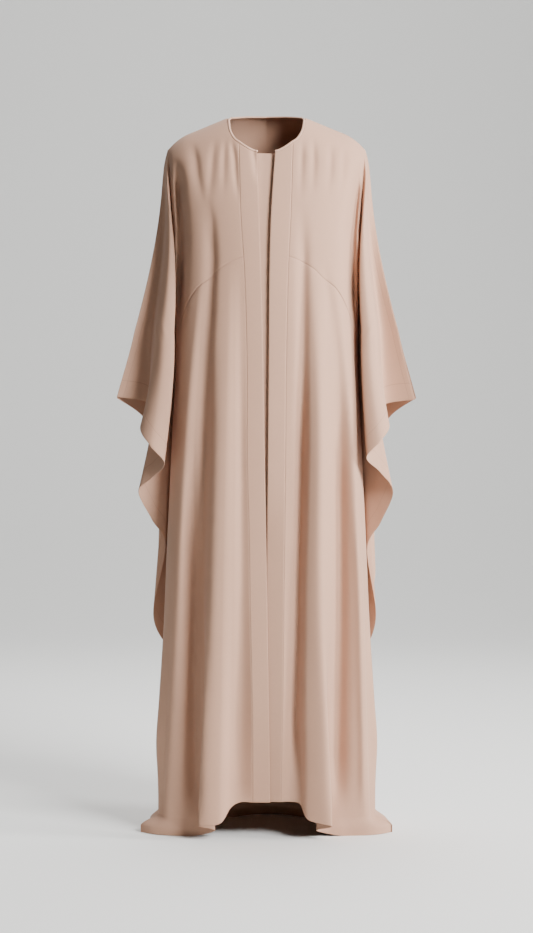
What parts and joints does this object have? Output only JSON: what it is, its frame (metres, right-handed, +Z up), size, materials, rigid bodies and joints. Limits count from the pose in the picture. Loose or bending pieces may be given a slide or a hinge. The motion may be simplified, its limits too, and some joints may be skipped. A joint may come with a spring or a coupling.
{
  "type": "abaya",
  "caption": "Long open-front abaya in blush crepe with deep butterfly sleeves, curved under-bust seams, plain front bands and an inner panel, hanging as worn.",
  "frame": {"origin": "between the shoulders at the height of the neck's side points, where the wearer's shoulders hold the garment up", "axes": "+Z up, -Y the front, +X the wearer's left"},
  "size_m": [0.6294, 0.2893, 1.5066],
  "materials": {
    "crepe": "matt crepe",
    "binding": "matt crepe cut on the bias"
  },
  "bodies": {
    "root": {"back_panel": "crepe", "front_yoke_right": "crepe", "front_panel_right": "crepe", "front_band_right": "crepe", "sleeve_front_right": "crepe", "sleeve_back_right": "crepe", "front_yoke_left": "crepe", "front_panel_left": "crepe", "front_band_left": "crepe", "sleeve_front_left": "crepe", "sleeve_back_left": "crepe", "inner_panel": "crepe", "neck_binding": "binding"}
  },
  "joints": []
}
